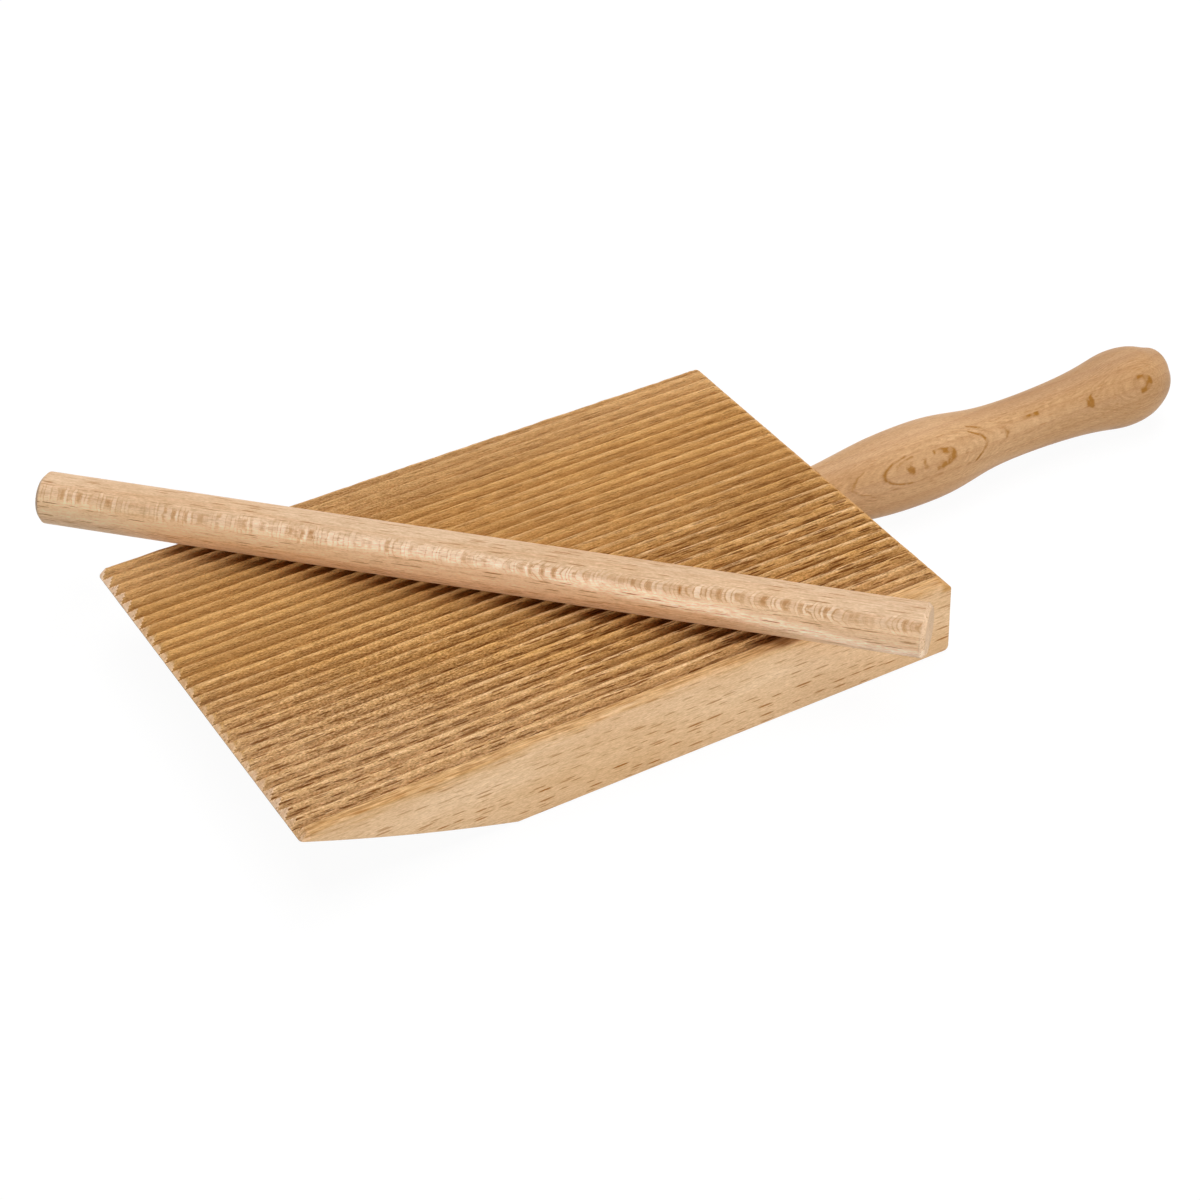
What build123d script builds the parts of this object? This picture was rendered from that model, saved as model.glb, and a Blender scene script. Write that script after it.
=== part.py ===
"""Gnocchi board: a grooved beech board with a turned handle and a loose roller.

Origin at the middle of the board's underside. +X runs along the grooves towards
the handle, +Y across the board and +Z up. Lengths in millimetres.
"""

import os
from math import radians, tan

from build123d import *

# Board: one plank, thick at the handle and thinned to an edge at the front
board_length = 179.0
board_width = 120.0
board_thickness = 21.5
bevel_length = 55.0
bevel_bow = 0.8
front_edge = 0.3
end_easing = 1.2

# Grooves: straight V cuts side by side, starting at the far side of the board
groove_pitch = 4.03
groove_depth = 1.7
groove_angle = 95.0
plain_margin = 3.0

# Both ends of the ridges are planed down to the groove floor over this length
ridge_end_length = 2.2

# Handle: turned in one piece with the tenon that is glued into the board
handle_length = 117.0
handle_diameter = 22.3
handle_rise = 0.5
tenon_diameter = 12.0
tenon_length = 32.0
tenon_lead = 1.0
glue_gap = 0.1

# Turned outline: how far along the handle, and the radius against the fullest one
handle_outline_shares = (
    (0.00, 0.780),
    (0.08, 0.865),
    (0.16, 0.960),
    (0.25, 1.000),
    (0.32, 0.980),
    (0.38, 0.900),
    (0.44, 0.795),
    (0.50, 0.740),
    (0.57, 0.726),
    (0.65, 0.746),
    (0.73, 0.805),
    (0.79, 0.892),
    (0.84, 0.975),
    (0.88, 0.975),
    (0.92, 0.890),
    (0.95, 0.740),
    (0.98, 0.470),
    (1.00, 0.000),
)
# How strongly the outline leaves the board along the handle and closes square to it
handle_tangent_shares = (0.5, 0.5)

# Roller: a plain dowel that lies loose across the ridges
roller_diameter = 13.6
roller_length = 232.0
roller_easing = 1.0
roller_turn = -46.6
roller_along_share = -0.0665
roller_across_share = 0.030
rest_gap = 0.1

# Every cut runs this far past the faces that it opens
overrun = 5.0

# Places worked out from the sizes above
front_x = -board_length / 2
rear_x = board_length / 2
far_y = board_width / 2
handle_axis_z = board_thickness / 2 + handle_rise
groove_floor_z = board_thickness - groove_depth
groove_half_width = groove_depth * tan(radians(groove_angle / 2))
groove_count = int((board_width - plain_margin) / groove_pitch)
groove_centres = [far_y - groove_pitch * (step + 0.5) for step in range(groove_count)]

# Drawing planes: the long outlines have +X along and +Z up, the groove row has +Y along and +Z up
side_plane = Plane(origin=(0, 0, 0), x_dir=(1, 0, 0), z_dir=(0, -1, 0))
handle_plane = Plane(origin=(rear_x, 0, handle_axis_z), x_dir=(1, 0, 0), z_dir=(0, -1, 0))
groove_plane = Plane(origin=(front_x - overrun, 0, 0), x_dir=(0, 1, 0), z_dir=(1, 0, 0))
bore_plane = Plane(origin=(rear_x, 0, handle_axis_z), z_dir=(1, 0, 0))

os.makedirs("parts", exist_ok=True)

# Board
with BuildPart() as board:
    with BuildSketch(side_plane):
        with BuildLine():
            Polyline(
                (front_x + bevel_length, 0),
                (rear_x, 0),
                (rear_x, groove_floor_z),
                (rear_x - ridge_end_length, board_thickness),
                (front_x + ridge_end_length, board_thickness),
                (front_x, groove_floor_z),
                (front_x, groove_floor_z - front_edge),
            )
            SagittaArc(
                (front_x, groove_floor_z - front_edge),
                (front_x + bevel_length, 0),
                -bevel_bow,
            )
        make_face()
    extrude(amount=board_width / 2, both=True)
    rear_bottom_edge = board.edges().filter_by(Axis.Y).group_by(Axis.Z)[0].sort_by(Axis.X)[-1]
    fillet(rear_bottom_edge, radius=end_easing)

    # Grooves, cut along the whole board
    with BuildSketch(groove_plane):
        for centre_y in groove_centres:
            with BuildLine():
                Polyline(
                    (centre_y - groove_half_width, board_thickness),
                    (centre_y, groove_floor_z),
                    (centre_y + groove_half_width, board_thickness),
                    (centre_y + groove_half_width, board_thickness + overrun),
                    (centre_y - groove_half_width, board_thickness + overrun),
                    close=True,
                )
            make_face()
    extrude(amount=board_length + 2 * overrun, mode=Mode.SUBTRACT)

    # Blind bore for the handle's tenon
    with Locations(bore_plane):
        Hole(radius=tenon_diameter / 2 + glue_gap, depth=tenon_length + glue_gap)

board.part.label = "board"
export_step(board.part, "parts/board.step")

# Handle
outline_points = [
    (handle_length * along, handle_diameter / 2 * around) for along, around in handle_outline_shares
]

with BuildPart() as handle:
    with BuildSketch(handle_plane):
        with BuildLine():
            Polyline(
                outline_points[-1],
                (-tenon_length, 0),
                (-tenon_length, tenon_diameter / 2 - tenon_lead),
                (tenon_lead - tenon_length, tenon_diameter / 2),
                (0, tenon_diameter / 2),
                outline_points[0],
            )
            Spline(
                *outline_points,
                tangents=((1, 0), (0, -1)),
                tangent_scalars=handle_tangent_shares,
            )
        make_face()
    revolve(axis=Axis((rear_x, 0, handle_axis_z), (1, 0, 0)))

handle.part.label = "handle"
export_step(handle.part, "parts/handle.step")

# Roller
roller_plane = Plane(
    origin=(
        roller_along_share * board_length,
        roller_across_share * board_width,
        board_thickness + rest_gap + roller_diameter / 2,
    ),
    z_dir=Vector(1, 0, 0).rotate(Axis.Z, roller_turn),
)

with BuildPart() as roller:
    with BuildSketch(roller_plane):
        Circle(roller_diameter / 2)
    extrude(amount=roller_length / 2, both=True)
    chamfer(roller.edges().filter_by(GeomType.CIRCLE), length=roller_easing)

roller.part.label = "roller"
export_step(roller.part, "parts/roller.step")
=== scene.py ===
"""Gnocchi board: the looks of the grooved board, its turned handle and its loose roller.

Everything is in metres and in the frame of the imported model: the origin is at the middle
of the board's underside, +X runs along the ridges to the handle and +Z is up.
"""

import math

import bmesh
import bpy
import numpy as np
from bpy.props import FloatProperty, FloatVectorProperty, IntProperty, PointerProperty
from mathutils import Matrix, Vector


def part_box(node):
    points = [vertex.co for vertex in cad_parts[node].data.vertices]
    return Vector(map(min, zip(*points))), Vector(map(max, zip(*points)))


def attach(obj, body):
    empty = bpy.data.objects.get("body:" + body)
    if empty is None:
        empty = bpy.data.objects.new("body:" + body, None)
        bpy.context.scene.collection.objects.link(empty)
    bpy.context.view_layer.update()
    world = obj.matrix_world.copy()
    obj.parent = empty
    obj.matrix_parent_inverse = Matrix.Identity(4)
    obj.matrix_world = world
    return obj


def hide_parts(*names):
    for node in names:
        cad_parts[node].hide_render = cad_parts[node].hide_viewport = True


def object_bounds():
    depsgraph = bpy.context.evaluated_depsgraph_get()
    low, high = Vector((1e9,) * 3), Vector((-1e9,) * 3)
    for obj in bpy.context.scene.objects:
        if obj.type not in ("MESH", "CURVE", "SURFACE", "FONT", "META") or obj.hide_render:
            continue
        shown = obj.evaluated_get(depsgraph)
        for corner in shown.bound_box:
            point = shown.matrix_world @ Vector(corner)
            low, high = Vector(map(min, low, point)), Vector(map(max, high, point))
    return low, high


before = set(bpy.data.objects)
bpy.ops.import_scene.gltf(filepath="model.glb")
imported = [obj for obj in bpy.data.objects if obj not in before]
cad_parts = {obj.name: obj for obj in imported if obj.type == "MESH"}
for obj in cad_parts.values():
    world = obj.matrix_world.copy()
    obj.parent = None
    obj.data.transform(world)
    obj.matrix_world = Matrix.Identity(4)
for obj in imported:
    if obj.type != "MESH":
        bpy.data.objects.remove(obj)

bl_info = {
    "name": "Gnocchi board",
    "version": (1, 0, 0),
    "blender": (4, 5, 0),
    "location": "View3D > Sidebar > Gnocchi board",
    "description": "Builds a beech gnocchi board with its handle, its roller and a studio",
    "category": "Object",
}

MM = 0.001
CAD_LOW, CAD_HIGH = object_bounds()
BOARD_LOW, BOARD_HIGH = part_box("board")
ROLLER_LOW, ROLLER_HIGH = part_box("roller")


def length(name, description, millimetres):
    """A size that shows in the sidebar. It is given here in mm and kept in metres."""
    return FloatProperty(
        name=name,
        description=description,
        default=millimetres * MM,
        min=0.0,
        precision=5,
        subtype="DISTANCE",
        unit="LENGTH",
    )


def angle(name, description, degrees):
    """An angle that shows in the sidebar."""
    return FloatProperty(
        name=name,
        description=description,
        default=math.radians(degrees),
        subtype="ANGLE",
        unit="ROTATION",
    )


def factor(name, description, default, high=1.0):
    """A plain number that shows in the sidebar."""
    return FloatProperty(name=name, description=description, default=default, min=0.0, max=high)


def colour(name, description, default):
    """A linear colour that shows in the sidebar."""
    return FloatVectorProperty(
        name=name,
        description=description,
        default=default,
        size=3,
        min=0.0,
        max=1.0,
        subtype="COLOR",
    )


class BoardSettings(bpy.types.PropertyGroup):
    """Sizes of the grooved board"""

    groove_pitch: length("Groove pitch", "From one ridge crest to the next", 4.03)
    groove_depth: length("Groove depth", "From crest to groove floor", 1.7)
    plain_margin: length("Plain margin", "Least width left beside the last groove", 3.0)
    groove_half: length("Groove half width", "Half the width of a groove at the top", 1.855)
    groove_skew: angle("Groove skew", "How far the grooves run askew to the sides", 0.45)
    crest_round: length("Crest rounding", "How softly the crests are rounded", 0.3)
    end_length: length("Planed ridge ends", "Length over which the ridge ends are planed", 2.2)
    bevel_length: length("Bevel length", "Length of the thinned front", 55.0)
    bevel_bow: length("Bevel bow", "How far the bevel bulges", 0.8)
    front_edge: length("Front edge", "Thickness of the front edge", 0.3)
    rear_easing: length("Rear easing", "Radius under the handle end", 1.2)
    side_easing: length("Side easing", "Radius along the long edges", 0.45)
    corner_round: length("Corner rounding", "Radius of the front corners seen from above", 0.9)
    bore_radius: length("Bore radius", "Radius of the bore for the tenon", 6.1)
    bore_depth: length("Bore depth", "Depth of the bore for the tenon", 32.1)
    fuzz: length("Fuzz", "Height of the torn fibres on the ridges", 0.05)
    station_step: length("Station step", "Distance between the rows of the mesh", 0.8)


class HandleSettings(bpy.types.PropertyGroup):
    """Sizes of the turned handle"""

    handle_length: length("Length", "From the board to the tip", 117.0)
    diameter: length("Diameter", "At the fullest place", 22.3)
    axis_height: length("Axis height", "Height of the handle's axis", 11.25)
    tenon_diameter: length("Tenon diameter", "Thickness of the tenon", 12.0)
    tenon_length: length("Tenon length", "Length of the tenon", 32.0)
    tenon_lead: length("Tenon lead", "Chamfer at the end of the tenon", 1.0)
    tip_fullness: length("Tip fullness", "How much the tip's far upper side stands out", 1.5)
    tip_place: length("Tip fullness place", "Where it is greatest, from the tip", 2.0)
    tip_reach: length("Tip fullness length", "Over which length it fades", 3.0)
    tip_facing: angle("Tip fullness side", "Towards which side, round the axis", 130)
    sides: IntProperty(name="Sides", description="Faces round the handle", default=112, min=12)


class RollerSettings(bpy.types.PropertyGroup):
    """Sizes of the loose roller"""

    diameter: length("Diameter", "Thickness of the dowel", 13.6)
    roller_length: length("Length", "Length of the dowel", 232.0)
    easing: length("Easing", "Chamfer at both ends", 1.0)
    turn: angle("Turn", "Turn about the vertical", -46.6)
    sides: IntProperty(name="Sides", description="Faces round the dowel", default=96, min=12)


class WoodSettings(bpy.types.PropertyGroup):
    """Colours of the beech"""

    sanded: colour("Sanded beech", "Smooth faces of the board", (0.9, 0.635, 0.39))
    sanded_warm: colour("Warm beech", "Golden streaks in the smooth faces", (0.74, 0.455, 0.22))
    milled: colour("Milled beech", "Flanks of the grooves", (0.72, 0.397, 0.134))
    # Also the painted highlight along the crests
    pale_beech_and_crest_highlight: colour("Pale milled beech", "Crests, edges and the roller's ends", (0.72, 0.445, 0.215))
    # Also the painted shade towards the groove floors
    deep_beech_and_groove_shade: colour("Deep beech", "Floors of the grooves", (0.48, 0.235, 0.065))
    turned: colour("Turned beech", "The handle", (0.625, 0.373, 0.185))
    turned_warm: colour("Warm turned beech", "Streaks in the handle", (0.53, 0.285, 0.12))
    dowel: colour("Pale beech", "The roller", (0.82, 0.56, 0.35))
    dowel_warm: colour("Warm pale beech", "Streaks in the roller", (0.74, 0.46, 0.25))
    # Painted highlight colour, mixed into the roller where it shines
    painted_sheen: colour("Sheen", "Fibres of the roller that catch the light", (1.0, 0.76, 0.55))
    # Also the painted dark line along the groove floors
    ray: colour("Ray flecks", "Dark flecks of the rays", (0.2, 0.065, 0.008))
    ray_soft: colour("Soft ray flecks", "Flecks on the smooth pieces", (0.37, 0.125, 0.008))
    ray_golden: colour("Golden ray flecks", "Arcs and spots on the handle", (0.345, 0.137, 0.01))


class StageSettings(bpy.types.PropertyGroup):
    """Camera, floor and light"""

    focal_length: FloatProperty(
        name="Focal length", description="Of the camera, in mm", default=86.27, min=1.0
    )
    camera_place: FloatVectorProperty(
        name="Camera place",
        description="Where the camera stands",
        default=(-0.262871, -0.519930, 0.449065),
        size=3,
        precision=6,
        subtype="XYZ",
        unit="LENGTH",
    )
    camera_turn: FloatVectorProperty(
        name="Camera turn",
        description="How the camera is turned",
        default=(math.radians(53.14049), math.radians(1.76258), math.radians(-30.09288)),
        size=3,
        precision=6,
        subtype="EULER",
        unit="ROTATION",
    )
    floor_size: length("Floor size", "Side of the square floor", 6000.0)
    surround: factor("Surround", "Strength of the even light all round", 0.02, 10.0)
    top_light: factor("Top softbox", "Power of the softbox overhead, in watts", 10.5, 500.0)
    rear_light: factor("Rear softbox", "Power of the softbox behind the handle, in watts", 9.0, 500.0)
    front_light: factor("Front softbox", "Power of the low softbox in front, in watts", 9.6, 500.0)
    right_light: factor("Right softbox", "Power of the softbox at the front right, in watts", 1.2, 500.0)
    floor_bounce: factor("Floor bounce", "How much light the floor throws back", 0.5)
    floor_shade: factor("Floor shade", "How strongly the floor shows the shadow", 0.07)


def settings():
    """All the settings of the part."""
    return bpy.context.scene.gnocchi_board


class GnocchiBoardSettings(bpy.types.PropertyGroup):
    """Everything that can be set"""

    board: PointerProperty(type=BoardSettings)
    handle: PointerProperty(type=HandleSettings)
    roller: PointerProperty(type=RollerSettings)
    wood: PointerProperty(type=WoodSettings)
    stage: PointerProperty(type=StageSettings)


# Nodes


class NodeTree:
    """The node tree of a material or a world, with one short call for each kind of node."""

    def __init__(self, owner):
        owner.use_nodes = True
        self.owner = owner
        self.nodes = owner.node_tree.nodes
        self.links = owner.node_tree.links
        self.nodes.clear()

    def add(self, kind, **values):
        node = self.nodes.new(kind)
        for key, value in values.items():
            setattr(node, key, value)
        return node

    def put(self, socket, value):
        """Links the socket to another one, or sets it to a plain value."""
        if isinstance(value, bpy.types.NodeSocket):
            self.links.new(value, socket)
        elif socket.type == "RGBA" and len(value) == 3:
            socket.default_value = (*value, 1.0)
        else:
            socket.default_value = value

    def put_all(self, node, values):
        """Fills the node's sockets in order."""
        for socket, value in zip(node.inputs, values):
            self.put(socket, value)

    def math(self, operation, *values, clamp=False):
        node = self.add("ShaderNodeMath", operation=operation, use_clamp=clamp)
        self.put_all(node, values)
        return node.outputs[0]

    def times(self, *values, clamp=False):
        """The product of two or more values."""
        product = values[0]
        for value in values[1:]:
            product = self.math("MULTIPLY", product, value, clamp=clamp)
        return product

    def plus(self, first, second):
        return self.math("ADD", first, second)

    def minus(self, first, second):
        return self.math("SUBTRACT", first, second)

    def times_plus(self, value, factor, offset):
        """The value times the factor, plus the offset."""
        return self.math("MULTIPLY_ADD", value, factor, offset)

    def swing(self, value, width):
        """A value between 0 and 1, made to swing about 0 over a width."""
        return self.times_plus(value, width, -width / 2)

    def absolute(self, value):
        return self.math("ABSOLUTE", value)

    def larger(self, first, second):
        return self.math("MAXIMUM", first, second)

    def vector(self, operation, *values):
        node = self.add("ShaderNodeVectorMath", operation=operation)
        self.put_all(node, values)
        return node.outputs["Value" if operation == "LENGTH" else "Vector"]

    def mapping(self, vector, place=(0, 0, 0), turn=(0, 0, 0), scale=(1, 1, 1)):
        node = self.add("ShaderNodeMapping")
        self.put_all(node, (vector, place, turn, scale))
        return node.outputs["Vector"]

    def patches(self, vector, lengths, detail=2.0, roughness=0.5, output="Fac"):
        """Noise with patches of about these lengths in mm. It doesn't change along a length of 0."""
        scale = tuple(1 / length if length else 0.0 for length in lengths)
        node = self.add("ShaderNodeTexNoise")
        self.put(node.inputs["Vector"], self.mapping(vector, scale=scale))
        node.inputs["Scale"].default_value = 1.0
        node.inputs["Detail"].default_value = detail
        node.inputs["Roughness"].default_value = roughness
        return node.outputs[output]

    def ramp(self, value, low, high, to_low=0.0, to_high=1.0):
        """A smooth step: to_low up to low, and to_high from high on. high may lie below low."""
        node = self.add("ShaderNodeMapRange", interpolation_type="SMOOTHSTEP")
        self.put_all(node, (value, low, high, to_low, to_high))
        return node.outputs["Result"]

    def mix(self, share, first, second, blend="MIX"):
        node = self.add("ShaderNodeMix", data_type="RGBA", blend_type=blend)
        self.put(node.inputs["Factor"], share)
        self.put(node.inputs[6], first)
        self.put(node.inputs[7], second)
        return node.outputs[2]

    def parts(self, vector):
        node = self.add("ShaderNodeSeparateXYZ")
        self.put(node.inputs[0], vector)
        return node.outputs

    def join(self, x, y, z):
        node = self.add("ShaderNodeCombineXYZ")
        self.put_all(node, (x, y, z))
        return node.outputs[0]

    def finish(self, kind, surface):
        """Adds the output node, and gives back the finished material or world."""
        self.put(self.add(kind).inputs["Surface"], surface)
        return self.owner


def log_place(tree, centre, turn, lean, pith_distance, waver):
    """Three ways to say where a point lies, all in mm.

    In the log: along the grain, out from the pith and round the pith. Beside it, the same log as
    plain axes. Last, the piece's own axes, with X along the piece.
    """
    place = tree.add("ShaderNodeTexCoord").outputs["Object"]
    turned = Matrix.Rotation(turn, 3, "Z") @ Vector(centre)
    own = tree.mapping(place, -turned / MM, (0, 0, turn), (1 / MM,) * 3)
    place = tree.mapping(own, (0, pith_distance, 0), (lean, 0, 0))
    drift = tree.patches(place, (70, 22, 22), detail=1.0, output="Color")
    drift = tree.vector("SUBTRACT", drift, (0.5, 0.5, 0.5))
    place = tree.vector("ADD", place, tree.vector("MULTIPLY", drift, (0, waver, waver)))
    along, side, up = tree.parts(place)
    out = tree.vector("LENGTH", tree.join(0.0, side, up))
    around = tree.times(tree.math("ARCTAN2", up, side), pith_distance)
    return tree.join(along, out, around), place, own


def ray_mask(tree, place, spacing, half, soft, shift=(0, 0, 0)):
    """Lens-shaped rays: 1 inside a ray and 0 outside. spacing and half are in mm."""
    cells = tree.mapping(place, shift, scale=tuple(1 / s for s in spacing))
    cell = tree.add("ShaderNodeTexVoronoi", feature="F1")
    tree.put(cell.inputs["Vector"], cells)
    cell.inputs["Scale"].default_value = 1.0
    away = tree.vector("SUBTRACT", cells, cell.outputs["Position"])
    away = tree.vector("MULTIPLY", away, tuple(s / h for s, h in zip(spacing, half)))
    luck = tree.parts(cell.outputs["Color"])
    size = tree.times_plus(luck[0], 0.8, 0.45)
    reach = tree.math("DIVIDE", tree.vector("LENGTH", away), size)
    return tree.ramp(reach, 1.0 + soft, 1.0 - soft), luck


def shaded(tree, tone, light):
    """Lighter or darker tone, for the wood's own changes and for painted light and shade: a darker part
    is also a warmer one.
    """
    green = tree.math("POWER", light, 1.3)
    blue = tree.math("POWER", light, 1.8)
    return tree.mix(1.0, tone, tree.join(light, green, blue), "MULTIPLY")


def window(tree, value, low, high, soft):
    """1 between low and high and 0 outside, with soft ends."""
    rise = tree.ramp(value, low - soft, low + soft)
    fall = tree.ramp(value, high + soft, high - soft)
    return tree.times(rise, fall)


def crest_level():
    """Height of the ridge crests over the middle of the board's thickness, in mm."""
    return (BOARD_HIGH.z - BOARD_LOW.z) / 2 / MM


# How each kind of surface is drawn.
# tones: the names of its main, its warm and its ray colour.
# log: how far the piece leans in the log in degrees, its distance from the pith and the waver in mm.
# dashes: the spacing and the half size of the ray dashes in mm, along and twice across.
# strengths: of the rays, of the fibres and of the pores.
# finish: the depth of the bump in mm, the roughness and the gloss.
SURFACES = {
    "board": {
        "tones": ("sanded", "sanded_warm", "ray_soft"),
        "log": (0.0, 300.0, 1.6),
        "dashes": ((5.2, 0.9, 0.9), (2.0, 0.21, 0.21)),
        "strengths": (1.0, 0.18, 0.22),
        "finish": (0.05, 0.5, 0.1),
    },
    "grooves": {
        "tones": ("milled", "deep_beech_and_groove_shade", "ray"),
        "log": (0.0, 300.0, 1.6),
        "dashes": ((4.8, 0.68, 0.68), (2.5, 0.21, 0.21)),
        "strengths": (1.0, 0.32, 0.2),
        "finish": (0.16, 0.58, 0.08),
    },
    "turned": {
        "tones": ("turned", "turned_warm", "ray_soft"),
        "log": (-49.5, 85.0, 1.0),
        "dashes": ((3.0, 0.9, 0.9), (1.1, 0.14, 0.14)),
        "strengths": (0.35, 0.1, 0.2),
        "finish": (0.02, 0.42, 0.15),
    },
    "dowel": {
        "tones": ("dowel", "dowel_warm", "ray_soft"),
        "log": (-50.0, 70.0, 0.8),
        "dashes": ((5.0, 0.75, 0.75), (2.5, 0.14, 0.14)),
        "strengths": (0.8, 0.28, 0.2),
        "finish": (0.05, 0.5, 0.12),
    },
}
# From one growth ring to the next, in mm
RING_WIDTH = 3.1


def beech(name, kind, centre, turn=0.0):
    """One beech material, for a kind of surface. centre and turn say how the piece lies."""
    look = SURFACES[kind]
    base, warm, fleck = (getattr(settings().wood, key) for key in look["tones"])
    lean, pith_distance, waver = look["log"]
    spacing, half = look["dashes"]
    ray_strength, fibre_strength, pore_strength = look["strengths"]
    bump_depth, rough, gloss = look["finish"]
    tree = NodeTree(bpy.data.materials.new(name))
    place, plain, own = log_place(tree, centre, turn, math.radians(lean), pith_distance, waver)

    # Broad patches, then fibres
    broad = tree.ramp(tree.patches(place, (60, 9, 14)), 0.35, 0.7)
    fibre = tree.patches(place, (6, 0.4, 0.4), detail=3.0, roughness=0.65)
    tone = tree.mix(tree.times(broad, 0.6), base, warm)

    # Growth rings: a slow rise and a quick fall
    out = tree.parts(place)[1]
    ring = tree.math("DIVIDE", out, RING_WIDTH)
    ring = tree.times_plus(tree.patches(place, (90, 6, 30), detail=1.0), 1.8, ring)
    ring = tree.math("POWER", tree.math("FRACT", ring), 3.0)
    tone = tree.mix(tree.times(ring, 0.2), tone, warm, "MULTIPLY")

    # Fine cells, fibres and pores
    fine, luck = ray_mask(tree, place, (2.3, 8.0, 0.32), (1.2, 4.0, 0.2), soft=0.5)
    light = tree.times_plus(tree.swing(luck[1], 0.18), fine, 1.0 - fibre_strength)
    light = tree.times_plus(fibre, 2 * fibre_strength, light)
    pore = tree.patches(plain, (0.9, 0.22, 0.22), detail=1.0)
    light = tree.plus(light, tree.swing(pore, 2 * pore_strength))

    # Broad rays: lines across the sawn ends, and dashes everywhere else. The roller, which lies
    # askew, has no lines on its ends.
    ray, _ = ray_mask(tree, place, (7.0, 16.0, 1.5), (2.1, 8.0, 0.25), soft=0.3)
    dash, luck = ray_mask(tree, plain, spacing, half, soft=0.3, shift=(3.1, 1.7, 0.4))
    sawn = 0.0
    if not turn:
        normal = tree.add("ShaderNodeTexCoord").outputs["Normal"]
        sawn = tree.ramp(tree.absolute(tree.parts(normal)[0]), 0.5, 0.9)
    share = tree.times(dash, tree.times_plus(luck[2], 0.4, 0.6))
    height = tree.times_plus(fibre, 0.6, tree.times(dash, -0.5))
    if kind == "board":
        tone, share = sanded(tree, tone, share, plain, own)
    if kind == "grooves":
        tone, light, share, height = milled(tree, tone, light, share, height, plain, own)
    if kind == "dowel":
        tone, share = ladder(tree, tone, share, own, plain)
    if kind == "turned":
        tone = arcs(tree, tone, own)
    share = tree.times(share, tree.minus(1.0, sawn))
    share = tree.times_plus(tree.times(ray, sawn), 0.5, share)
    share = tree.times(share, ray_strength)
    tone = shaded(tree, tone, tree.larger(light, 0.2))
    tone = tree.mix(share, tone, fleck)

    bump = tree.add("ShaderNodeBump")
    bump.inputs["Distance"].default_value = bump_depth * MM
    bump.inputs["Strength"].default_value = 1.0
    tree.put(bump.inputs["Height"], height)

    surface = tree.add("ShaderNodeBsdfPrincipled")
    tree.put(surface.inputs["Base Color"], tone)
    surface.inputs["Roughness"].default_value = rough
    surface.inputs["Specular IOR Level"].default_value = gloss
    tree.put(surface.inputs["Normal"], bump.outputs["Normal"])
    return tree.finish("ShaderNodeOutputMaterial", surface.outputs["BSDF"])


def sanded(tree, tone, share, plain, own):
    """The smooth faces of the board. They are golden low down, where most rays show."""
    wood = settings().wood
    along, across, level = tree.parts(own)
    crest = crest_level()
    low = tree.times_plus(tree.patches(plain, (25, 5, 5)), 9.0, level)
    low = tree.ramp(low, 9.0, 0.0)
    tone = tree.mix(tree.times(low, 0.4), tone, wood.sanded_warm)
    share = tree.times(
        share,
        tree.times_plus(low, 0.4, 0.6),
        tree.ramp(level, -crest, 1.5 - crest, 0.5, 1.0),
    )

    # The strip beside the last groove, milled and streaky. Its inner edge lies a margin from
    # the board's near side, and away is the distance from there, outwards and down.
    margin = (BOARD_HIGH.y - settings().board.plain_margin) / MM
    away = tree.minus(crest - margin, tree.plus(level, across))
    away = tree.plus(away, tree.swing(tree.patches(plain, (12, 1.2, 1.2)), 9.0))
    away = tree.plus(away, tree.ramp(along, 0.0, -60.0, 0.0, -1.5))
    strip = tree.times(tree.ramp(away, 5.2, 0.0), tree.ramp(across, -50.0, -56.0))
    tone = tree.mix(tree.times(strip, 0.65), tone, wood.milled)
    streak = tree.times_plus(tree.patches(plain, (6, 0.45, 0.45)), 1.5, -0.85)
    # Painted shade: the top face is darkened so that, under the lamp overhead, it looks no lighter than
    # the sides
    edge = tree.ramp(level, crest - 0.6, crest - 0.1, 1.0, 0.89)
    tone = shaded(tree, tone, tree.plus(edge, tree.times(strip, streak)))

    # The planed ridge ends at the handle are as brown as the grooves
    from_rear = tree.minus(BOARD_HIGH.x / MM, along)
    rear = tree.times(
        tree.ramp(from_rear, 3.5, 1.5, 0.0, 0.8),
        tree.ramp(level, crest - 3.0, crest - 2.0),
    )
    tone = tree.mix(rear, tone, wood.milled)
    tone = tree.mix(tree.times(rear, 0.6), tone, wood.deep_beech_and_groove_shade)

    # Those in front are rosy, and shorter in the middle of the edge
    from_front = tree.minus(along, BOARD_LOW.x / MM)
    front = tree.times(
        tree.ramp(from_front, 2.7, 2.3),
        tree.ramp(level, crest - 2.4, crest - 1.9),
    )
    middle = tree.ramp(tree.absolute(across), 45.0, 25.0)
    rosy = tree.mix(middle, (1.2, 1.22, 1.38), (1.13, 1.05, 0.98))
    tone = tree.mix(front, tone, rosy, "MULTIPLY")
    behind = tree.times(front, middle, tree.ramp(from_front, 0.8, 1.6, 0.0, 0.9))
    return tree.mix(behind, tone, wood.milled), share


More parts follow.
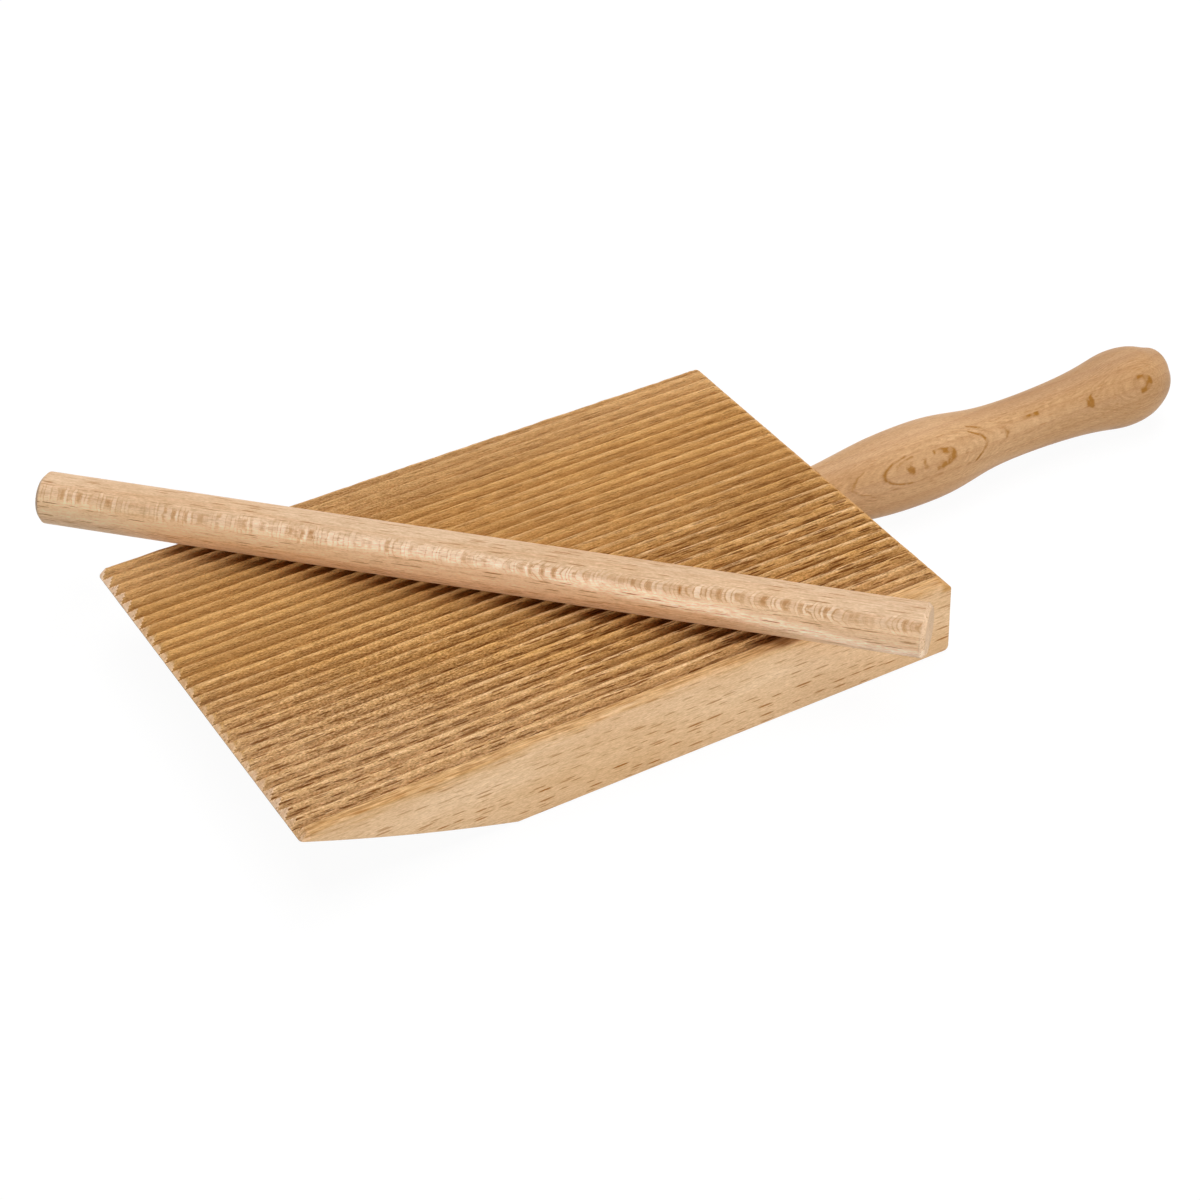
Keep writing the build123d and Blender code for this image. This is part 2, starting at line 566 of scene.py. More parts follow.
def milled(tree, tone, light, share, height, plain, own):
    """The grooved top: painted shade in the groove floors, streaks to the rear and torn, glinting fibres
    in front.
    """
    wood = settings().wood
    depth = settings().board.groove_depth / MM
    crest = crest_level()
    along, across, level = tree.parts(own)
    torn = tree.times_plus(tree.patches(plain, (40, 25, 25), detail=1.0), 150.0, along)
    torn = tree.times(
        tree.ramp(torn, 95.0, 30.0),
        tree.ramp(along, -90.0, -50.0, 0.4, 1.0),
        tree.ramp(across, -46.0, -22.0, 0.25, 1.0),
    )
    crisp = tree.ramp(across, 30.0, -35.0, 0.4, 1.2)

    # Painted shade: the tone sinks towards the groove floor, unevenly, and a dark line of the ray colour
    # runs along the floor
    groove_shade_level = tree.plus(level, tree.swing(tree.patches(plain, (9, 1.2, 1.2)), 1.4))
    deepest = crest - 1.1 * depth
    slope = tree.ramp(groove_shade_level, crest, deepest, 0.0, 0.6)
    tone = tree.mix(slope, tone, wood.deep_beech_and_groove_shade)
    bottom = tree.ramp(groove_shade_level, crest - 0.6 * depth, deepest, 0.0, 0.65)
    tone = tree.mix(tree.times(bottom, crisp, clamp=True), tone, wood.ray)

    # Paler wood along both long edges and at the near front corner
    edge = tree.ramp(tree.absolute(across), 36.0, 58.0, 0.0, 0.45)
    corner = tree.ramp(tree.times_plus(along, 0.5, across), -30.0, -75.0, 0.0, 0.75)
    tone = tree.mix(tree.larger(edge, corner), tone, wood.pale_beech_and_crest_highlight)

    # Golden crests, broken up: partly paler wood, partly a painted highlight
    line = tree.times(
        tree.ramp(level, crest - 0.6, crest - 0.1),
        tree.ramp(tree.patches(plain, (14, 2, 2)), 0.35, 0.6),
        tree.times_plus(torn, -0.4, 0.75),
    )
    tone = tree.mix(tree.times(line, crisp, clamp=True), tone, wood.pale_beech_and_crest_highlight)

    # Long streaks, and torn fibres
    streak = tree.swing(tree.patches(plain, (8, 0.5, 0.5), roughness=0.6), 0.9)
    streak = tree.times(streak, tree.times_plus(torn, -0.6, 1.0))
    speck = tree.patches(plain, (0.7, 0.3, 0.3))
    tear = tree.times_plus(torn, 0.5, 0.5)
    glint = tree.times_plus(tree.swing(speck, 2.0), tear, streak)
    light = tree.times_plus(glint, crisp, light)

    # Dashes, most of them on the near side
    here = tree.ramp(across, 15.0, -25.0, 0.25, 1.0)
    share = tree.times(share, here, tree.times_plus(torn, -0.3, 1.0))
    height = tree.times_plus(speck, tree.times(tear, 2.2), height)
    return tone, light, share, height


def facing_flecks(tree, own):
    """How far across the roller a point lies from its two rows of flecks, and how far along, in mm."""
    radius = settings().roller.diameter / 2 / MM
    along, side, up = tree.parts(own)
    wander = tree.swing(tree.patches(own, (45, 0, 0), detail=1.0), 0.5)
    centre = tree.plus(wander, math.radians(-47))
    turned = tree.minus(tree.math("ARCTAN2", side, up), centre)
    across = tree.times(tree.math("ARCSINE", tree.math("SINE", turned)), radius)
    return across, along


def ladder(tree, tone, share, own, plain):
    """Rows of ray flecks along the roller, like the rungs of a ladder, with dashes beside them, and
    painted highlight, light and shade.
    """
    wood = settings().wood
    across, along = facing_flecks(tree, own)
    from_row = tree.absolute(across)
    share = tree.times(share, tree.ramp(from_row, 1.5, 2.6))

    # The rungs are bowed and stand at uneven distances
    bow = tree.times(across, across, tree.ramp(along, -40.0, 30.0, 0.02, 0.3))
    wobble = tree.patches(plain, (2.5, 1.2, 1.2))
    bow = tree.plus(bow, tree.swing(wobble, 1.0))
    step = tree.math("DIVIDE", tree.minus(along, bow), 1.35)
    step = tree.times_plus(tree.patches(own, (5, 0, 0), detail=3.0), 4.5, step)
    edge = tree.absolute(tree.minus(tree.math("FRACT", step), 0.5))
    luck = tree.add("ShaderNodeTexWhiteNoise", noise_dimensions="1D")
    tree.put(luck.inputs["W"], tree.math("FLOOR", step))
    luck = tree.parts(luck.outputs["Color"])

    # Each rung has its own reach round the roller and is dark or pale
    reach = tree.times_plus(luck[1], 1.5, 1.0)
    faint = tree.patches(own, (16, 0, 0), detail=1.0)
    zone = tree.times(
        tree.ramp(tree.math("DIVIDE", from_row, reach), 1.45, 0.6),
        tree.ramp(faint, 0.35, 0.6, 0.35, 1.0),
        tree.ramp(along, -20.0, 30.0, 0.8, 1.0),
    )
    dark = tree.times(
        tree.ramp(luck[0], 0.45, 0.95, 0.0, 0.8),
        tree.ramp(from_row, 2.1, 0.8),
        tree.ramp(edge, 0.42, 0.25),
    )
    dark = tree.larger(dark, tree.ramp(edge, 0.3, 0.47, 0.0, 0.5))
    dark = tree.times(dark, tree.times_plus(wobble, 1.2, 0.3), zone)
    pale = tree.times(
        tree.ramp(edge, 0.44, 0.15),
        tree.ramp(luck[2], 0.2, 0.8, 0.0, 0.65),
        zone,
    )

    # Painted highlight: a shining stripe where the fibres lie flat, which slants round the roller
    slant = tree.times(tree.larger(tree.minus(along, 15.0), 0.0), 0.08)
    near = tree.absolute(tree.plus(tree.plus(across, slant), 0.1))
    glint = tree.patches(plain, (2.2, 0.35, 0.35))
    painted_sheen_band = tree.times(
        tree.ramp(near, 2.4, 0.6),
        tree.ramp(along, -80.0, -30.0),
        tree.ramp(glint, 0.32, 0.58, 0.3, 1.0),
    )
    tone = tree.mix(painted_sheen_band, tone, wood.painted_sheen)
    # The pale rungs take the painted highlight colour: partly paler flecks, partly painted shine
    tone = tree.mix(pale, tone, wood.painted_sheen)
    tone = tree.mix(dark, tone, wood.ray_soft)
    tone = tree.mix(dark, tone, (1.05, 0.96, 0.75), "MULTIPLY")

    # Painted light and shade: darker on top, paler low on both sides as if lit by the white floor, and a
    # little more light in the shining stripe and towards the left end
    painted_light = tree.times_plus(painted_sheen_band, 0.08, tree.ramp(across, 5.5, 1.0, 0.89, 1.02))
    painted_light = tree.plus(painted_light, tree.ramp(along, -25.0, -65.0, 0.0, 0.04))
    tone = tree.mix(1.0, tone, tree.join(painted_light, painted_light, painted_light), "MULTIPLY")
    half = settings().roller.roller_length / 2 / MM
    from_end = tree.minus(half, tree.absolute(along))
    painted_lift_share = tree.times(
        tree.ramp(across, 0.4, -2.2),
        tree.ramp(across, -8.5, -5.0, 0.1, 1.0),
        tree.ramp(from_end, 1.6, 0.9, 1.0, 0.1),
    )
    painted_lift = tree.mix(tree.ramp(along, -50.0, 10.0), (1.22, 1.26, 1.23), (1.19, 1.18, 1.15))
    tone = tree.mix(1.0, tone, tree.mix(painted_lift_share, (1.0, 1.0, 1.0), painted_lift), "MULTIPLY")

    # Painted highlight on the chamfers, and warmer end grain
    tone = tree.mix(tree.ramp(from_end, 1.3, 0.9, 0.0, 0.15), tone, wood.painted_sheen)
    end = tree.ramp(from_end, 0.1, 0.02, 0.0, 0.45)
    return tree.mix(end, tone, wood.pale_beech_and_crest_highlight), share


# Broad rays that the handle's turning laid open: from and to along the handle, depth of the ray's
# plane from the handle's axis, half its thickness, how dark it is, and whether it shows on the
# upper half alone (1) or on both halves (0). Lengths in mm.
HANDLE_RAYS = (
    (2.5, 11.0, 9.26, 0.045, 0.8, 0),
    (13.5, 23.5, 10.38, 0.06, 1.0, 0),
    (19.5, 25.5, 10.66, 0.07, 0.9, 1),
    (22.6, 24.6, 10.98, 0.08, 1.0, 0),
    (27.8, 28.9, 11.13, 0.05, 0.9, 0),
    (31.5, 38.6, 10.93, 0.13, 1.0, 0),
    (45.0, 49.5, 8.4, 0.14, 0.9, 1),
    (44.5, 52.0, 9.2, 0.09, 1.0, 0),
    (56.2, 57.8, 8.4, 0.1, 1.0, 0),
    (63.0, 68.5, 7.82, 0.14, 1.0, 1),
    (83.3, 85.7, 8.93, 0.18, 1.0, 0),
    (100.0, 106.0, 10.78, 0.12, 1.0, 0),
)


def arcs(tree, tone, own):
    """Rays cut by the turned outline: arcs where the wood bulges and spots along the neck."""
    along, side, up = tree.parts(own)
    facing = math.radians(-56)
    depth = tree.times_plus(up, math.cos(facing), tree.times(side, math.sin(facing)))
    aside = tree.times_plus(up, -math.sin(facing), tree.times(side, math.cos(facing)))
    rough_edge = tree.patches(own, (3, 1.5, 1.5))
    depth = tree.plus(depth, tree.swing(rough_edge, 0.2))
    along = tree.plus(along, tree.swing(rough_edge, 1.2))

    # Fine lines that run with the same planes, and painted shade: darker on top of the neck and towards
    # the tip
    fine = tree.math("SINE", tree.times(depth, 2 * math.pi / 0.42))
    fine = tree.times(fine, tree.ramp(rough_edge, 0.4, 0.65, 0.0, 0.07))
    painted_neck_shade = tree.times(
        tree.ramp(along, 30.0, 65.0), tree.ramp(side, -6.0, -1.0), tree.ramp(up, 1.0, 4.0)
    )
    tip = tree.ramp(along, 55.0, 75.0, 1.0, 0.94)
    tone = shaded(tree, tone, tree.times_plus(painted_neck_shade, -0.14, tree.plus(fine, tip)))

    share = 0.0
    upper = tree.ramp(aside, -0.3, 0.3)
    for low, high, plane, thickness, strength, one_half in HANDLE_RAYS:
        cut = tree.times(
            window(tree, along, low, high, 0.4),
            window(tree, depth, plane - thickness, plane + thickness, 0.07),
            strength,
        )
        if one_half:
            cut = tree.times(cut, upper)
        share = tree.larger(cut, share)
    broken = tree.ramp(tree.patches(own, (2.2, 2.2, 2.2)), 0.34, 0.56, 0.3, 0.88)
    return tree.mix(tree.times(share, broken), tone, settings().wood.ray_golden)


# Meshes


def new_piece(name, mesh):
    piece = bpy.data.objects.new(name, mesh)
    bpy.context.scene.collection.objects.link(piece)
    return piece


def finish_mesh(mesh, sharp_degrees):
    """Turns all faces outwards and shades them smooth up to an angle."""
    work = bmesh.new()
    work.from_mesh(mesh)
    bmesh.ops.recalc_face_normals(work, faces=work.faces)
    work.to_mesh(mesh)
    work.free()
    mesh.shade_smooth()
    mesh.set_sharp_from_angle(angle=math.radians(sharp_degrees))


def tube_faces(rings, count):
    """Quads between rings of count points each, as rows of four vertex numbers."""
    ring = np.arange(rings - 1)[:, None] * count
    here = ring + np.arange(count)[None, :]
    after = ring + (np.arange(count)[None, :] + 1) % count
    return np.stack([here, after, after + count, here + count], -1).reshape(-1, 4)


def lathe(name, outline, sides, origin, direction, fuller=(0.0, 0.0, 1.0, 0.0)):
    """A closed turned mesh. outline holds (along, radius) pairs that start and end on the axis.

    fuller says by how much one side stands out, where along the axis, over which length and
    towards which angle.
    """
    direction = Vector(direction).normalized()
    side = direction.cross(Vector((0, 0, 1))).normalized()
    up = side.cross(direction)
    turn = np.linspace(0, 2 * math.pi, sides, endpoint=False)
    along, radius = np.array(outline[1:-1]).T
    around = np.outer(np.cos(turn), side) + np.outer(np.sin(turn), up)
    amount, middle, reach, facing = fuller
    swell = amount * np.outer(
        np.exp(-(((along - middle) / reach) ** 2)), np.maximum(0.0, np.cos(turn - facing))
    )
    swell = radius[:, None] + swell
    middles = np.array(origin) + along[:, None, None] * np.array(direction)
    points = (middles + swell[..., None] * around[None]).reshape(-1, 3)
    ends = [np.array(origin) + np.array(direction) * outline[i][0] for i in (0, -1)]
    faces = tube_faces(len(along), sides).tolist()
    first, last = len(points), len(points) + 1
    base = (len(along) - 1) * sides
    for step in range(sides):
        after = (step + 1) % sides
        faces.append((first, after, step))
        faces.append((last, base + step, base + after))
    mesh = bpy.data.meshes.new(name)
    mesh.from_pydata(np.vstack([points, ends]).tolist(), [], faces)
    return mesh


def smooth_outline(points, start, end, count):
    """A smooth line through points, with the direction of its two ends given."""
    points = np.array(points, float)
    chord = np.concatenate([[0], np.cumsum(np.linalg.norm(np.diff(points, axis=0), axis=1))])
    step = np.diff(chord)
    size = len(points)
    system = np.eye(size)
    right = np.zeros((size, 2))
    right[0], right[-1] = start, end
    for i in range(1, size - 1):
        before, after = step[i - 1], step[i]
        system[i, i - 1 : i + 2] = after, 2 * (before + after), before
        right[i] = 3 * (
            after * (points[i] - points[i - 1]) / before + before * (points[i + 1] - points[i]) / after
        )
    slope = np.linalg.solve(system, right)
    line = []
    for i, width in enumerate(step):
        t = np.linspace(0, 1, count, endpoint=False)[:, None]
        line.append(
            (2 * t**3 - 3 * t**2 + 1) * points[i]
            + (t**3 - 2 * t**2 + t) * width * slope[i]
            + (3 * t**2 - 2 * t**3) * points[i + 1]
            + (t**3 - t**2) * width * slope[i + 1]
        )
    return np.vstack([*line, points[-1:]])


def blurred(values, widths):
    """Random values blurred along each axis by a number of cells, back at a spread of 1."""
    for axis, width in enumerate(widths):
        if width > 0:
            reach = int(3 * width) + 1
            weight = np.exp(-0.5 * (np.arange(-reach, reach + 1) / width) ** 2)
            weight /= weight.sum()
            values = np.apply_along_axis(lambda row: np.convolve(row, weight, "same"), axis, values)
    return values / values.std()


def underside(along, board):
    """Height of the board's underside, with the bowed bevel and the eased rear edge."""
    front, rear = BOARD_LOW.x, BOARD_HIGH.x
    tip = BOARD_HIGH.z - board.groove_depth - board.front_edge
    share = np.linspace(0, 1, 60)
    chord = math.hypot(board.bevel_length, tip)
    bow = 4 * board.bevel_bow * share * (1 - share)
    line_x = front + share * board.bevel_length - bow * tip / chord
    line_z = tip * (1 - share) - bow * board.bevel_length / chord
    height = np.interp(along, line_x, line_z, right=0.0)
    height = np.where(along > front + board.bevel_length, 0.0, np.minimum(height, tip))
    into = np.clip((along - rear + board.rear_easing) / board.rear_easing, 0, 1)
    return height + board.rear_easing * (1 - np.sqrt(1 - into**2))


# Both ends of the board have closer rows of mesh, over this length and at this distance
END_ZONE = 4.0 * MM
END_STEP = 0.25 * MM

# Places of the mesh's points in a groove, as shares of the pitch from its far crest
GROOVE_SHARES = np.array((0.0, 0.03, 0.075, 0.2, 0.34, 0.455, 0.5, 0.545, 0.66, 0.8, 0.925, 0.97))

# Torn fibres: the start of their random pattern, how many cells of the mesh their fine and their
# slow part run over (along and across), and how high the slow part is against the fine one
TEAR_SEED = 7
FINE_BLUR = (1.1, 0.6)
SLOW_BLUR = (18.0, 9.0)
SLOW_SHARE = 0.8
BORE_SIDES = 64


def mesh_rows(board):
    """Places of the rows along the board, closer together at both ends."""
    span = BOARD_HIGH.x - BOARD_LOW.x
    eased = span - board.rear_easing
    front_end = np.arange(0, END_ZONE, END_STEP)
    middle = np.arange(END_ZONE, span - END_ZONE, board.station_step)
    rear_end = eased - np.arange(END_ZONE - board.rear_easing, 0.0, -END_STEP)
    rounding = eased + board.rear_easing * np.sin(np.linspace(0, math.pi / 2, 7))[1:]
    rows = np.concatenate([front_end, middle, rear_end, rounding, [board.bevel_length]])
    rows = BOARD_LOW.x + np.unique(rows.round(7))
    rows[-1] = BOARD_HIGH.x
    return rows


def mesh_places(board, grooves):
    """Places across the top, from the far side to the near side."""
    half, ease = BOARD_HIGH.y, board.side_easing
    last_crest = half - board.groove_pitch * grooves
    across = [half - board.groove_pitch * (k + GROOVE_SHARES) for k in range(grooves)]
    across = np.concatenate(across)
    flat = np.linspace(last_crest, -half + ease, 6)
    return np.concatenate([across[across < half - ease * 1.05], flat])


def corner_arc(y, z, radius, quarters):
    """Four points on a quarter of a circle, which starts so many quarters from +Y."""
    angles = (quarters + np.linspace(0, 1, 4)) * math.pi / 2
    return [(y + radius * math.cos(a), z + radius * math.sin(a)) for a in angles]


def outline_ring(y, height, width, planed, bottom, ease):
    """The board's outline at one row: its top, then the near side, the bottom and the far side."""
    near_top = min(height[-1], planed) - ease
    far_top = min(height[0], planed) - ease
    low = bottom + ease
    inner = width - ease
    return [
        *zip(y, height),
        *corner_arc(-inner, near_top, ease, 1)[1:],
        *((-width, z) for z in np.linspace(near_top, low, 8)[1:-1]),
        *corner_arc(-inner, low, ease, 2),
        *((v, bottom) for v in np.linspace(-inner, inner, 26)[1:-1]),
        *corner_arc(inner, low, ease, 3),
        *((width, z) for z in np.linspace(low, far_top, 8)[1:-1]),
        *corner_arc(inner, far_top, ease, 0)[:-1],
    ]


def board_rings(board, rows, grooves):
    """The outlines of the board at all rows, as lists of points."""
    front, rear = BOARD_LOW.x, BOARD_HIGH.x
    half, top = BOARD_HIGH.y, BOARD_HIGH.z
    pitch, ease = board.groove_pitch, board.side_easing
    floor = top - board.groove_depth
    last_crest = half - pitch * grooves
    across = mesh_places(board, grooves)
    generator = np.random.default_rng(TEAR_SEED)
    size = (len(rows), len(across))
    torn = blurred(generator.normal(size=size), FINE_BLUR) * board.fuzz
    slow = blurred(generator.normal(size=size), SLOW_BLUR) * board.fuzz * SLOW_SHARE

    rings = []
    for i, x in enumerate(rows):
        from_front, from_rear = x - front, rear - x
        bottom = float(underside(np.array([x]), board)[0])
        corner = np.clip((board.corner_round - from_front) / board.corner_round, 0, 1)
        width = half - board.corner_round * (1 - math.sqrt(1 - corner**2))
        shift = math.tan(board.groove_skew) * x
        from_end = min(from_front, from_rear)
        planed = floor + board.groove_depth * min(1.0, from_end / board.end_length)
        round_edge = min(ease, (planed - bottom) * 0.45)

        # The grooves lean with the skew, and the outermost bands take up the difference
        first_floor = half - pitch / 2
        anchors = [-half + ease, last_crest, first_floor, half - ease]
        moved = [-width + round_edge, last_crest + shift, first_floor + shift, width - round_edge]
        y = np.interp(across, anchors, moved)
        phase = (half + shift - y) / pitch
        from_centre = np.abs(phase - np.floor(phase) - 0.5) * pitch
        groove = floor + board.groove_depth * from_centre / board.groove_half
        groove = np.where(y < last_crest + shift, top, groove)

        # Rounded crests, then torn fibres that fade out at the ends and on the planed facets
        soft = board.crest_round
        cap = np.full_like(groove, min(top, planed))
        height = -np.logaddexp(-groove / soft * 2, -cap / soft * 2) * soft / 2
        inside = np.clip((cap - height) / (0.3 * MM), 0, 1) * min(1.0, from_end / (3 * MM))
        fibres = torn[i] * (0.35 + 0.65 * inside) + slow[i]
        height = height + fibres * min(1.0, from_front / END_ZONE)
        height = np.clip(height, bottom + 0.2 * MM, top)
        ring = outline_ring(y, height, width, planed, bottom, round_edge)
        rings.append([(x, a, b) for a, b in ring])
    return rings


def open_bore(mesh, count, board):
    """Adds the rear end face with the bore for the tenon. count is the number of points in a ring."""
    work = bmesh.new()
    work.from_mesh(mesh)
    work.verts.ensure_lookup_table()
    rim = work.verts[-count:]
    edges = [work.edges.get((rim[i - 1], rim[i])) for i in range(count)]
    turn = np.linspace(0, 2 * math.pi, BORE_SIDES, endpoint=False)
    axis_z = settings().handle.axis_height
    sides = board.bore_radius * np.cos(turn)
    heights = axis_z + board.bore_radius * np.sin(turn)
    mouth, end = (
        [work.verts.new((x, a, b)) for a, b in zip(sides, heights)]
        for x in (BOARD_HIGH.x, BOARD_HIGH.x - board.bore_depth)
    )
    edges += [work.edges.new((mouth[i - 1], mouth[i])) for i in range(BORE_SIDES)]
    bmesh.ops.triangle_fill(
        work, use_beauty=True, use_dissolve=False, edges=edges, normal=(1, 0, 0)
    )
    for i in range(BORE_SIDES):
        work.faces.new((mouth[i - 1], mouth[i], end[i], end[i - 1]))
    work.faces.new(end)
    work.to_mesh(mesh)
    work.free()


def finish_grooves(mesh, board, grooves):
    """Gives the faces of the grooved top, without the planed ends, the second material."""
    floor = BOARD_HIGH.z - board.groove_depth
    centres = np.zeros(len(mesh.polygons) * 3)
    mesh.polygons.foreach_get("center", centres)
    normals = np.zeros(len(mesh.polygons) * 3)
    mesh.polygons.foreach_get("normal", normals)
    along, across, height = centres.reshape(-1, 3).T
    upwards = normals.reshape(-1, 3)[:, 2]
    last_crest = BOARD_HIGH.y - board.groove_pitch * grooves
    crest_y = last_crest + math.tan(board.groove_skew) * along
    from_end = np.minimum(along - BOARD_LOW.x, BOARD_HIGH.x - along)
    facet = floor + board.groove_depth * from_end / board.end_length
    grooved = (upwards > 0.2) & (across > crest_y) & (height > floor - 0.1 * MM)
    grooved &= height < facet - 0.12 * MM
    mesh.polygons.foreach_set("material_index", grooved.astype(np.int32))


def board_mesh(name):
    board = settings().board
    grooves = int((2 * BOARD_HIGH.y - board.plain_margin) / board.groove_pitch)
    rings = board_rings(board, mesh_rows(board), grooves)
    count = len(rings[0])
    faces = [tuple(range(count)), *tube_faces(len(rings), count).tolist()]
    mesh = bpy.data.meshes.new(name)
    mesh.from_pydata(np.array(rings).reshape(-1, 3).tolist(), [], faces)
    open_bore(mesh, count, board)
    finish_mesh(mesh, 38)
    finish_grooves(mesh, board, grooves)
    return mesh


class GNOCCHI_OT_board(bpy.types.Operator):
    """Build the grooved board"""

    bl_idname = "gnocchi.board"
    bl_label = "Grooved board"

    def execute(self, context):
        mesh = board_mesh("grooved_board")
        piece = new_piece("grooved_board", mesh)
        centre = (0.0, 0.0, BOARD_HIGH.z / 2)
        mesh.materials.append(beech("sanded_beech", "board", centre))
        mesh.materials.append(beech("milled_beech", "grooves", centre))
        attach(piece, "board")
        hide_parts("board")
        return {"FINISHED"}


# Turned outline: how far along the handle, and the radius against the fullest one
HANDLE_SHARES = (
    (0.00, 0.780),
    (0.08, 0.865),
    (0.16, 0.960),
    (0.25, 1.000),
    (0.32, 0.980),
    (0.38, 0.900),
    (0.44, 0.795),
    (0.50, 0.740),
    (0.57, 0.726),
    (0.65, 0.746),
    (0.73, 0.805),
    (0.79, 0.892),
    (0.84, 0.975),
    (0.88, 0.975),
    (0.92, 0.890),
    (0.95, 0.740),
    (0.98, 0.470),
    (1.00, 0.000),
)


class GNOCCHI_OT_handle(bpy.types.Operator):
    """Turn the handle with its tenon"""

    bl_idname = "gnocchi.handle"
    bl_label = "Turned handle"

    def execute(self, context):
        handle = settings().handle
        radius = handle.diameter / 2
        points = [(handle.handle_length * a, radius * r) for a, r in HANDLE_SHARES]
        outline = smooth_outline(points, (0.5, 0.0), (0.0, -0.5), 8)
        thin = handle.tenon_diameter / 2
        back = -handle.tenon_length
        lead = handle.tenon_lead
        tenon = [(back, 0.0), (back, thin - lead), (back + lead, thin), (0.0, thin)]
        centre = (BOARD_HIGH.x, 0.0, handle.axis_height)
        place = handle.handle_length - handle.tip_place
        mesh = lathe(
            "turned_handle",
            tenon + outline.tolist(),
            handle.sides,
            centre,
            (1, 0, 0),
            fuller=(handle.tip_fullness, place, handle.tip_reach, handle.tip_facing),
        )
        finish_mesh(mesh, 40)
        piece = new_piece("turned_handle", mesh)
        mesh.materials.append(beech("turned_beech", "turned", centre))
        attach(piece, "board")
        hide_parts("handle")
        return {"FINISHED"}


class GNOCCHI_OT_roller(bpy.types.Operator):
    """Make the loose roller"""

    bl_idname = "gnocchi.roller"
    bl_label = "Roller"

    def execute(self, context):
        roller = settings().roller
        radius, half = roller.diameter / 2, roller.roller_length / 2
        body = np.linspace(-half + roller.easing, half - roller.easing, 240)
        rim = radius - roller.easing
        outline = [(-half, 0.0), (-half, rim), *((a, radius) for a in body), (half, rim), (half, 0.0)]
        centre = (ROLLER_LOW + ROLLER_HIGH) / 2
        direction = (math.cos(roller.turn), math.sin(roller.turn), 0.0)
        mesh = lathe("roller_dowel", outline, roller.sides, centre, direction)
        finish_mesh(mesh, 30)
        piece = new_piece("roller_dowel", mesh)
        mesh.materials.append(beech("dowel_beech", "dowel", centre, -roller.turn))
        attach(piece, "roller")
        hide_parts("roller")
        return {"FINISHED"}


def softbox(name, power, place, width, height):
    """A soft rectangular lamp that points at the origin."""
    light = bpy.data.lights.new(name, "AREA")
    light.energy = power
    light.shape = "RECTANGLE"
    light.size = width
    light.size_y = height
    lamp = bpy.data.objects.new(name, light)
    bpy.context.scene.collection.objects.link(lamp)
    lamp.location = place
    lamp.rotation_euler = (-Vector(place)).to_track_quat("-Z", "Y").to_euler()


def seen_rays(tree):
    """1 for rays from the camera and for glossy and transmission rays, and 0 for all others."""
    path = tree.add("ShaderNodeLightPath").outputs
    seen = tree.larger(path["Is Camera Ray"], path["Is Glossy Ray"])
    return tree.larger(seen, path["Is Transmission Ray"])


def choose(tree, share, first, second):
    """The first surface where share is 0, and the second where it is 1."""
    node = tree.add("ShaderNodeMixShader")
    tree.put_all(node, (share, first, second))
    return node.outputs[0]


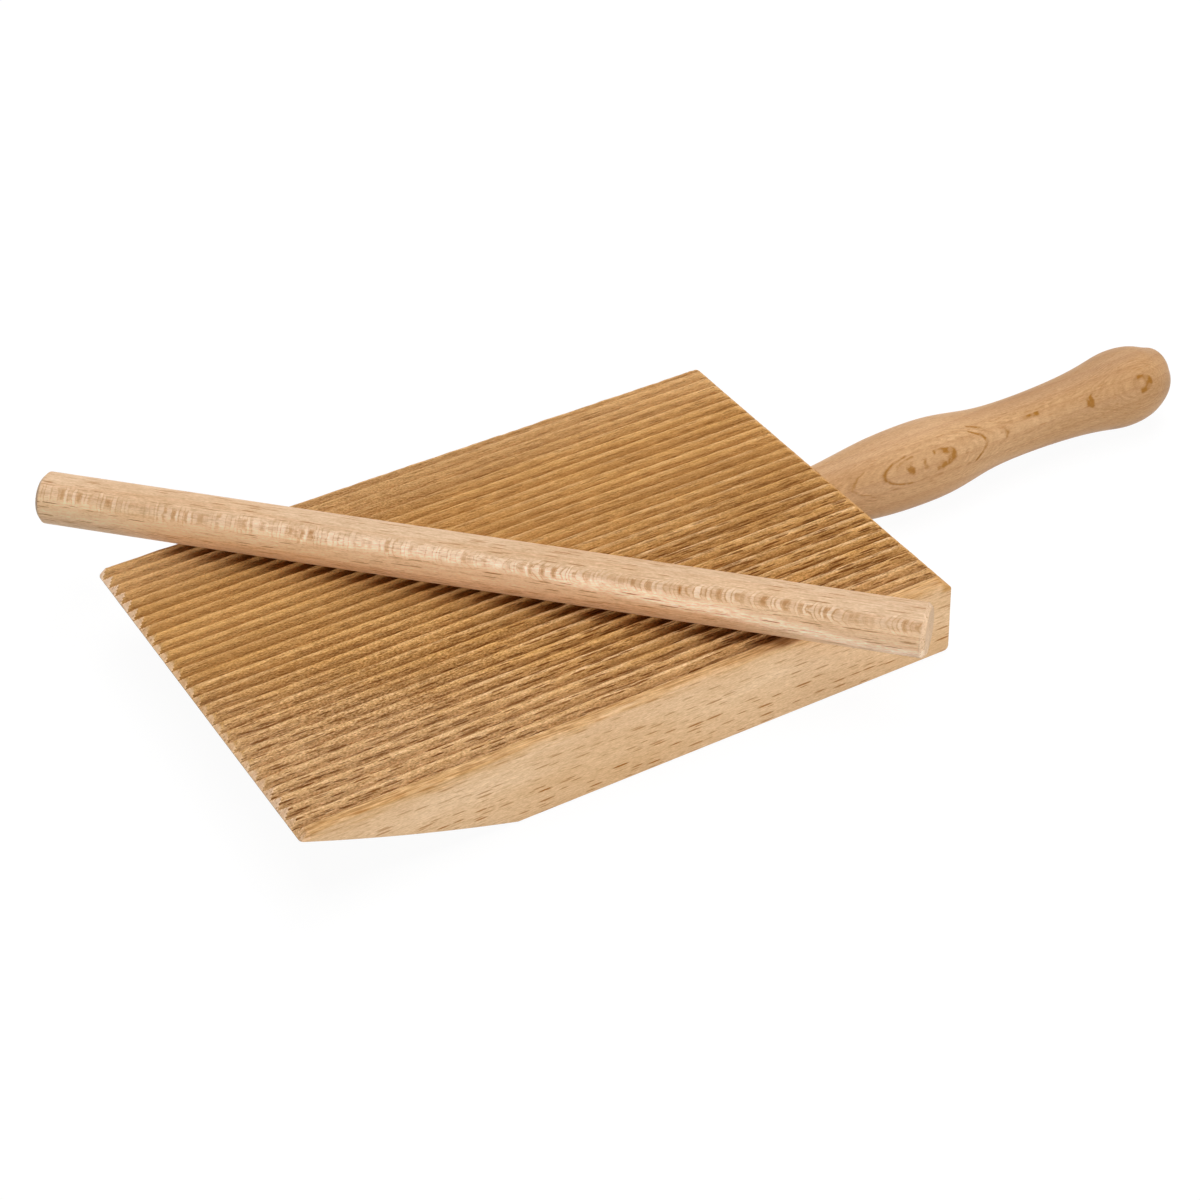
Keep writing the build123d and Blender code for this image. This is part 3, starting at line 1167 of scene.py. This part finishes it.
class GNOCCHI_OT_stage(bpy.types.Operator):
    """Set the camera, the floor and the light"""

    bl_idname = "gnocchi.stage"
    bl_label = "Stage"

    def execute(self, context):
        stage = settings().stage
        scene = bpy.context.scene
        scene.view_settings.view_transform = "Standard"

        lens = bpy.data.cameras.new("camera")
        lens.lens = stage.focal_length
        lens.sensor_width = 36.0
        lens.clip_start = 0.01
        camera = bpy.data.objects.new("camera", lens)
        scene.collection.objects.link(camera)
        camera.location = stage.camera_place
        camera.rotation_euler = stage.camera_turn
        scene.camera = camera

        side = stage.floor_size / 2
        mesh = bpy.data.meshes.new("floor")
        corners = [(-side, -side, 0), (side, -side, 0), (side, side, 0), (-side, side, 0)]
        mesh.from_pydata(corners, [], [(0, 1, 2, 3)])
        floor = new_piece("floor", mesh)
        floor.location.z = CAD_LOW[2] - 0.0001
        mesh.materials.append(self.floor_material(stage.floor_shade, stage.floor_bounce))

        scene.world = self.surround(stage.surround)
        softbox("softbox_top", stage.top_light, (0.0, 0.0, 1.3), 1.0, 1.0)
        softbox("softbox_rear", stage.rear_light, (0.62, 0.58, 1.0), 0.9, 0.9)
        softbox("softbox_front", stage.front_light, (0.0, -1.28, 0.2), 1.6, 0.32)
        softbox("softbox_right", stage.right_light, (0.85, -0.85, 0.55), 0.7, 0.6)
        return {"FINISHED"}

    @staticmethod
    def floor_material(shade, bounce):
        """White with a faint shadow to the rays that seen_rays names, and pale grey to the rest."""
        tree = NodeTree(bpy.data.materials.new("floor_white"))
        plain = tree.add("ShaderNodeBsdfDiffuse")
        tree.put(plain.inputs["Color"], (bounce,) * 3)
        faint = tree.add("ShaderNodeBsdfDiffuse")
        tree.put(faint.inputs["Color"], (shade,) * 3)
        glow = tree.add("ShaderNodeEmission")
        glow.inputs["Strength"].default_value = 1.0 - shade * 0.7
        both = tree.add("ShaderNodeAddShader")
        tree.put_all(both, (faint.outputs[0], glow.outputs[0]))
        surface = choose(tree, seen_rays(tree), plain.outputs[0], both.outputs[0])
        return tree.finish("ShaderNodeOutputMaterial", surface)

    @staticmethod
    def surround(strength):
        """White to the rays that seen_rays names, and an even soft light to the rest."""
        tree = NodeTree(bpy.data.worlds.new("surround"))
        light = tree.add("ShaderNodeBackground")
        light.inputs["Strength"].default_value = strength
        white = tree.add("ShaderNodeBackground")
        tree.put(white.inputs["Color"], (1.0, 1.0, 1.0))
        surface = choose(tree, seen_rays(tree), light.outputs[0], white.outputs[0])
        return tree.finish("ShaderNodeOutputWorld", surface)


class GNOCCHI_PT_panel(bpy.types.Panel):
    """Lists the settings and the builders"""

    bl_idname = "GNOCCHI_PT_panel"
    bl_label = "Gnocchi board"
    bl_space_type = "VIEW_3D"
    bl_region_type = "UI"
    bl_category = "Gnocchi board"

    def draw(self, context):
        for title, group, operator in (
            ("Board", "board", "gnocchi.board"),
            ("Handle", "handle", "gnocchi.handle"),
            ("Roller", "roller", "gnocchi.roller"),
            ("Wood", "wood", None),
            ("Stage", "stage", "gnocchi.stage"),
        ):
            box = self.layout.box()
            box.label(text=title)
            values = getattr(context.scene.gnocchi_board, group)
            for key in values.bl_rna.properties.keys():
                if key not in ("rna_type", "name"):
                    box.prop(values, key)
            if operator:
                box.operator(operator)


CLASSES = (
    BoardSettings,
    HandleSettings,
    RollerSettings,
    WoodSettings,
    StageSettings,
    GnocchiBoardSettings,
    GNOCCHI_OT_board,
    GNOCCHI_OT_handle,
    GNOCCHI_OT_roller,
    GNOCCHI_OT_stage,
    GNOCCHI_PT_panel,
)


def register():
    for item in CLASSES:
        bpy.utils.register_class(item)
    bpy.types.Scene.gnocchi_board = PointerProperty(type=GnocchiBoardSettings)


def unregister():
    del bpy.types.Scene.gnocchi_board
    for item in reversed(CLASSES):
        bpy.utils.unregister_class(item)


def main():
    register()
    bpy.ops.gnocchi.stage()
    bpy.ops.gnocchi.board()
    bpy.ops.gnocchi.handle()
    bpy.ops.gnocchi.roller()


if __name__ == "__main__":
    main()
